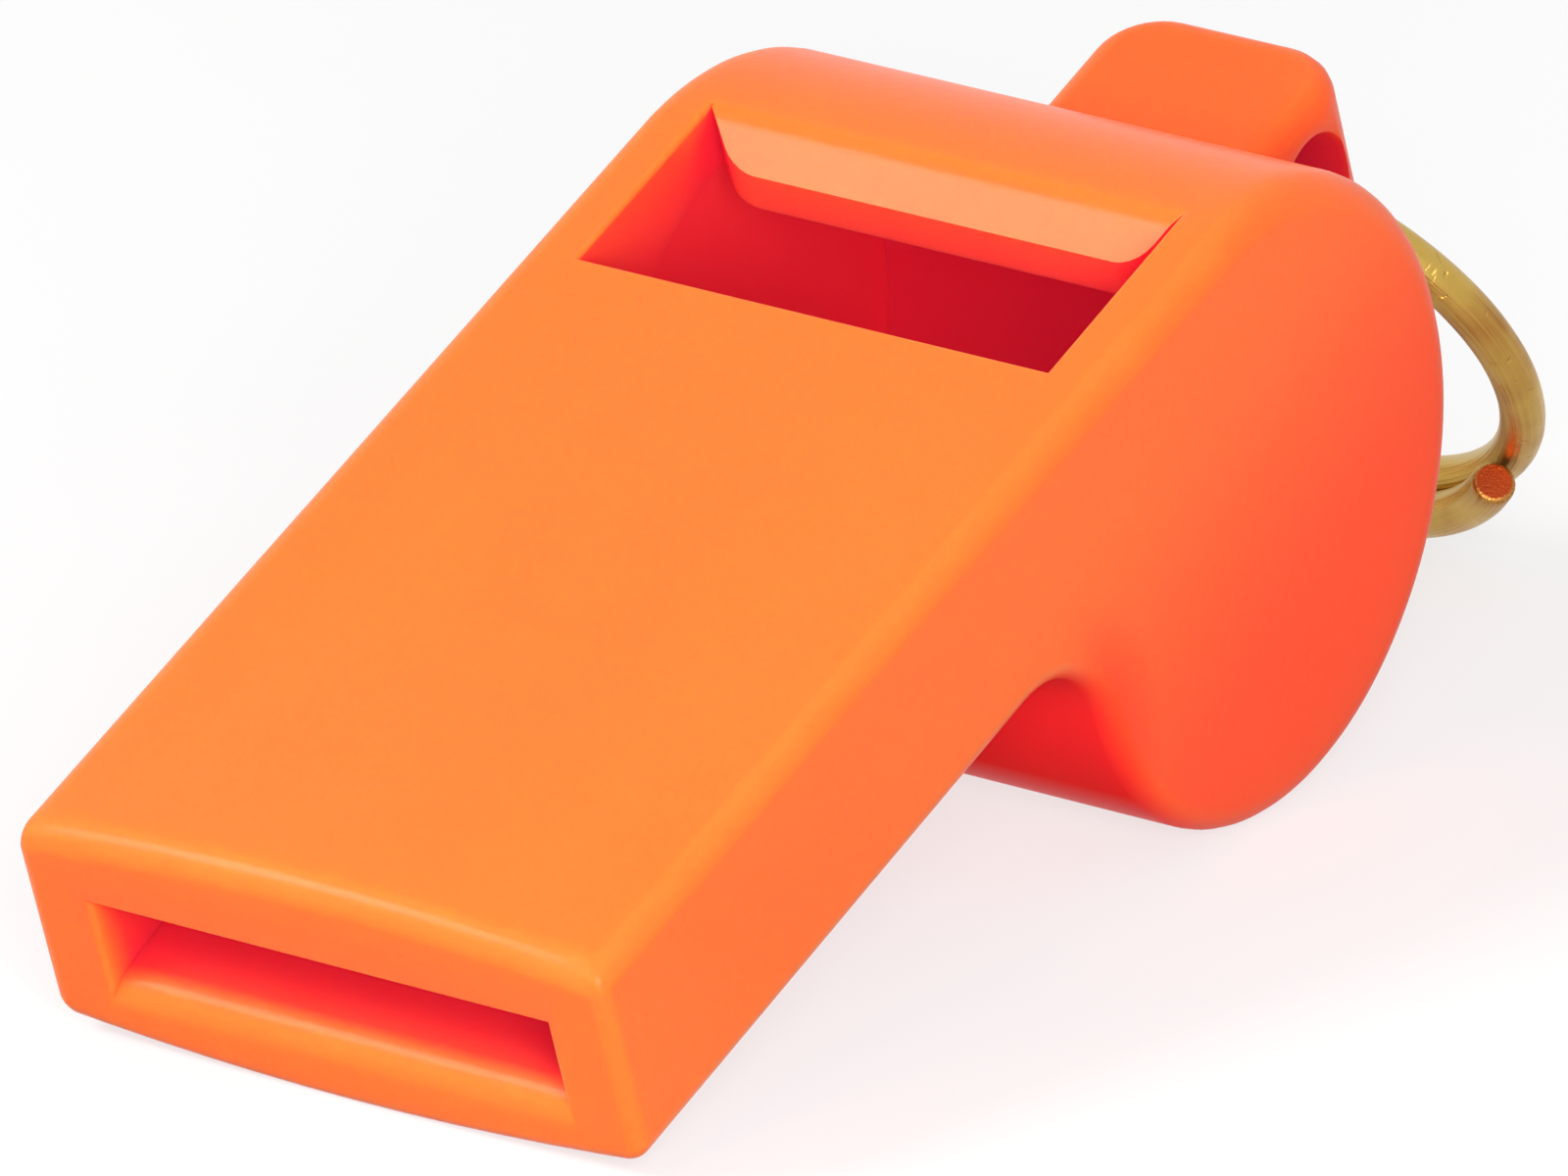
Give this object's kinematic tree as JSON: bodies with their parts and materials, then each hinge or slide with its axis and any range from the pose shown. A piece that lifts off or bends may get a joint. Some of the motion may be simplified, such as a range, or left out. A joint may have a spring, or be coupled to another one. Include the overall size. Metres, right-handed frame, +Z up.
{
  "type": "pea whistle",
  "caption": "Moulded plastic pea whistle with a flat mouthpiece, round drum with air window, loose cork pea and a swinging wire ring in a rear lug.",
  "frame": {"origin": "on the surface that the whistle stands on, under the middle of its box with the ring in its rest position", "axes": "+X from the mouth back to the lug, +Y to the side with the cap, +Z up; the whistle leans on the mouth's lower edge and the drum as it does on a table"},
  "size_m": [0.0626, 0.022, 0.0214],
  "materials": {
    "orange_plastic": "bright orange moulding, slightly translucent, soft gloss",
    "cap_plastic": "bright orange moulding, slightly translucent, soft gloss",
    "cork": "ground cork with dark pits",
    "brass_wire": "drawn brass wire, lightly tarnished"
  },
  "bodies": {
    "whistle": {"body": "orange_plastic", "side_cap": "cap_plastic"},
    "pea": {"pea": "cork"},
    "ring": {"wire_ring": "brass_wire"}
  },
  "joints": [
    {"name": "pea_roll", "type": "hinge", "parent": "whistle", "child": "pea", "pos_m": [0.00774, 0, 0.0107], "axis": [0, 1, 0], "continuous": true},
    {"name": "ring_swing", "type": "hinge", "parent": "whistle", "child": "ring", "pos_m": [0.02041, 0, 0.01595], "axis": [0, -1, 0], "range_deg": [-39, 196]}
  ]
}
